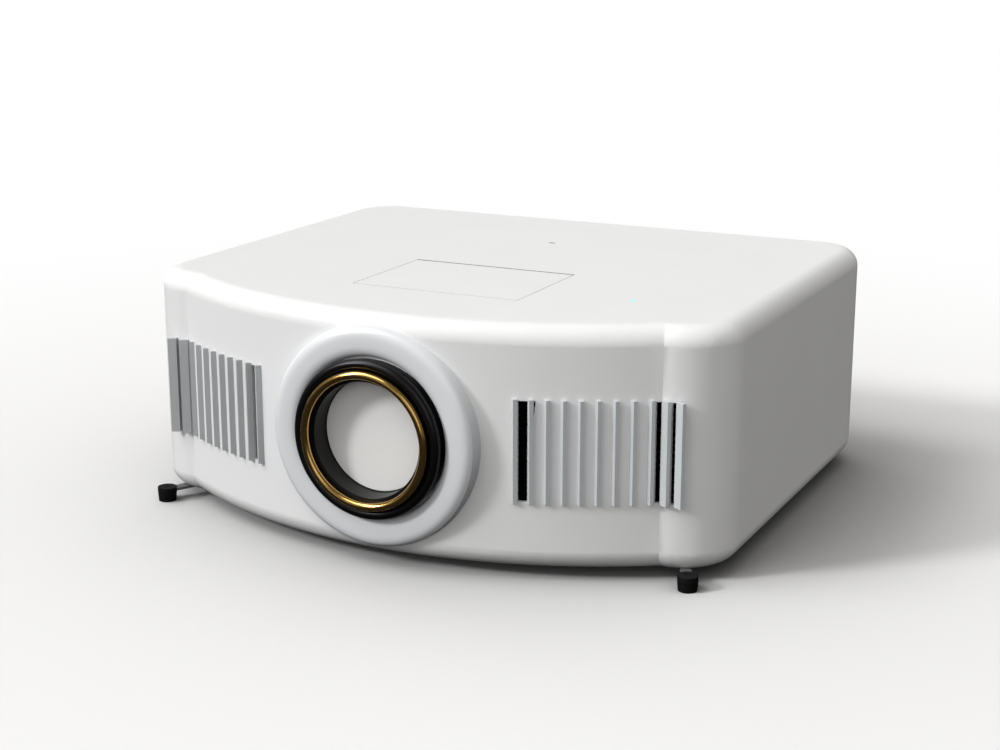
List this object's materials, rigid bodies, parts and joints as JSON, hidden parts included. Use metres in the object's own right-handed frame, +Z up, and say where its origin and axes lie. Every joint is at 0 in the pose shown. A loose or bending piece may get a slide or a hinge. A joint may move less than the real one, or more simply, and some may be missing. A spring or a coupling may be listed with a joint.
{
  "type": "video projector",
  "caption": "Centred-lens projector with a bowed front, ringed lens hood, slatted side vents, opening top cover, filter tray and lamp drawer.",
  "frame": {"origin": "bottom centre of the bounding box, on the surface that the feet stand on", "axes": "+Z up, -Y is the way the lens looks, +X is the right side seen from the front"},
  "size_m": [0.49, 0.4454, 0.1879],
  "materials": {
    "white_case": "satin",
    "black_plastic": "matt",
    "ring_silver": "satin",
    "hood_black": "satin",
    "gold_metal": "polished",
    "cap_white": "satin",
    "slat_silver": "satin",
    "rubber": "matt",
    "steel": "satin",
    "aluminium": "satin",
    "glass": "clear",
    "board_green": "satin",
    "cyan_light": "clear",
    "grey_plastic": "matt",
    "foam": "open",
    "brass_pins": "satin"
  },
  "bodies": {
    "case": {"audio_sockets": "grey_plastic", "base_pan": "white_case", "board_standoffs": "brass_pins", "case_screws": "steel", "control_well": "grey_plastic", "exhaust_fan_frame": "black_plastic", "gold_ring": "gold_metal", "heat_sink": "aluminium", "inlet_pins": "brass_pins", "intake_fan_frame": "black_plastic", "keypad_board": "board_green", "left_slats": "slat_silver", "lens_hood": "hood_black", "lens_portal": "aluminium", "lens_ring": "ring_silver", "light_engine": "aluminium", "light_sensor": "black_plastic", "main_board": "board_green", "power_inlet": "black_plastic", "prism": "glass", "rear_feet": "rubber", "rear_panel": "black_plastic", "right_slats": "slat_silver", "signal_sockets": "steel", "socket_plate": "steel", "status_light": "cyan_light", "supply_board": "board_green", "supply_parts": "grey_plastic", "switch_frame": "black_plastic", "upper_case": "white_case", "vent_screens": "black_plastic", "wheel_motor": "steel"},
    "cover": {"top_cover": "white_case", "cover_hinge_pins": "steel"},
    "cap": {"lens_cap": "cap_white"},
    "lens": {"lens_barrel": "aluminium", "front_glass": "glass", "rear_glass": "glass"},
    "carriage": {"shift_carriage": "aluminium"},
    "focus": {"focus_ring": "black_plastic"},
    "zoom": {"zoom_ring": "black_plastic"},
    "dial_side": {"shift_dial_side": "grey_plastic"},
    "dial_height": {"shift_dial_height": "grey_plastic"},
    "wheel": {"colour_wheel": "glass"},
    "lamp": {"lamp_cartridge": "black_plastic", "lamp_reflector": "aluminium", "lamp_burner": "glass"},
    "intake_rotor": {"intake_fan_rotor": "black_plastic"},
    "exhaust_rotor": {"exhaust_fan_rotor": "black_plastic"},
    "filter": {"filter_tray": "white_case", "filter_foam": "foam"},
    "switch": {"power_switch": "black_plastic"},
    "stud_left": {"front_foot_stud_left": "steel"},
    "stud_right": {"front_foot_stud_right": "steel"},
    "foot_left": {"front_foot_pad_left": "rubber"},
    "foot_right": {"front_foot_pad_right": "rubber"},
    "button_1": {"button_1": "black_plastic"},
    "button_2": {"button_2": "black_plastic"},
    "button_3": {"button_3": "black_plastic"},
    "button_4": {"button_4": "black_plastic"}
  },
  "joints": [
    {"name": "cover_hinge", "type": "hinge", "parent": "case", "child": "cover", "pos_m": [0.0027, -0.01445, 0.1864], "axis": [-1, 0, 0], "range_deg": [0, 100]},
    {"name": "cap_pull", "type": "slide", "parent": "case", "child": "cap", "axis": [0, -1, 0], "range_m": [0, 0.05]},
    {"name": "shift_side", "type": "slide", "parent": "case", "child": "carriage", "axis": [1, 0, 0], "range_m": [-0.005, 0.005]},
    {"name": "shift_height", "type": "slide", "parent": "carriage", "child": "lens", "axis": [0, 0, 1], "range_m": [-0.005, 0.005]},
    {"name": "focus_turn", "type": "hinge", "parent": "lens", "child": "focus", "pos_m": [0, -0.1064, 0.0976], "axis": [0, 1, 0], "range_deg": [-20, 20]},
    {"name": "zoom_turn", "type": "hinge", "parent": "lens", "child": "zoom", "pos_m": [0, -0.0489, 0.0976], "axis": [0, 1, 0], "range_deg": [-20, 20]},
    {"name": "dial_side_turn", "type": "hinge", "parent": "case", "child": "dial_side", "pos_m": [-0.045, -0.08265, 0.17], "axis": [0, 0, 1], "range_deg": [-540, 540]},
    {"name": "dial_height_turn", "type": "hinge", "parent": "case", "child": "dial_height", "pos_m": [0.045, -0.08265, 0.17], "axis": [0, 0, 1], "range_deg": [-540, 540]},
    {"name": "colour_wheel_spin", "type": "hinge", "parent": "case", "child": "wheel", "pos_m": [-0.145, 0.0801, 0.0766], "axis": [0, 1, 0], "continuous": true},
    {"name": "lamp_pull", "type": "slide", "parent": "case", "child": "lamp", "axis": [0, 1, 0], "range_m": [0, 0.13]},
    {"name": "intake_spin", "type": "hinge", "parent": "case", "child": "intake_rotor", "pos_m": [-0.1995, -0.03, 0.0976], "axis": [1, 0, 0], "continuous": true},
    {"name": "exhaust_spin", "type": "hinge", "parent": "case", "child": "exhaust_rotor", "pos_m": [0.108, 0.2047, 0.0976], "axis": [0, 1, 0], "continuous": true},
    {"name": "filter_pull", "type": "slide", "parent": "case", "child": "filter", "axis": [-1, 0, 0], "range_m": [0, 0.06]},
    {"name": "switch_rock", "type": "hinge", "parent": "case", "child": "switch", "pos_m": [0.176, 0.2152, 0.092], "axis": [1, 0, 0], "range_deg": [0, 16]},
    {"name": "button_1_press", "type": "slide", "parent": "case", "child": "button_1", "axis": [0, -1, 0], "range_m": [0, 0.0012], "stiffness_N_per_m": 300, "springref_m": -0.001},
    {"name": "button_2_press", "type": "slide", "parent": "case", "child": "button_2", "axis": [0, -1, 0], "range_m": [0, 0.0012], "stiffness_N_per_m": 300, "springref_m": -0.001},
    {"name": "button_3_press", "type": "slide", "parent": "case", "child": "button_3", "axis": [0, -1, 0], "range_m": [0, 0.0012], "stiffness_N_per_m": 300, "springref_m": -0.001},
    {"name": "button_4_press", "type": "slide", "parent": "case", "child": "button_4", "axis": [0, -1, 0], "range_m": [0, 0.0012], "stiffness_N_per_m": 300, "springref_m": -0.001},
    {"name": "foot_left_travel", "type": "slide", "parent": "case", "child": "stud_left", "axis": [0, 0, -1], "range_m": [0, 0.003]},
    {"name": "foot_left_turn", "type": "hinge", "parent": "stud_left", "child": "foot_left", "pos_m": [-0.2249, -0.1535, 0.004], "axis": [0, 0, 1], "range_deg": [0, 864]},
    {"name": "foot_right_travel", "type": "slide", "parent": "case", "child": "stud_right", "axis": [0, 0, -1], "range_m": [0, 0.003]},
    {"name": "foot_right_turn", "type": "hinge", "parent": "stud_right", "child": "foot_right", "pos_m": [0.2249, -0.1535, 0.004], "axis": [0, 0, 1], "range_deg": [0, 864]}
  ],
  "couplings": [
    {"joint": "dial_side_turn", "follows": "shift_side", "rad_per_m": 1885},
    {"joint": "dial_height_turn", "follows": "shift_height", "rad_per_m": 1885},
    {"joint": "foot_left_turn", "follows": "foot_left_travel", "rad_per_m": 5026.5},
    {"joint": "foot_right_turn", "follows": "foot_right_travel", "rad_per_m": 5026.5}
  ]
}
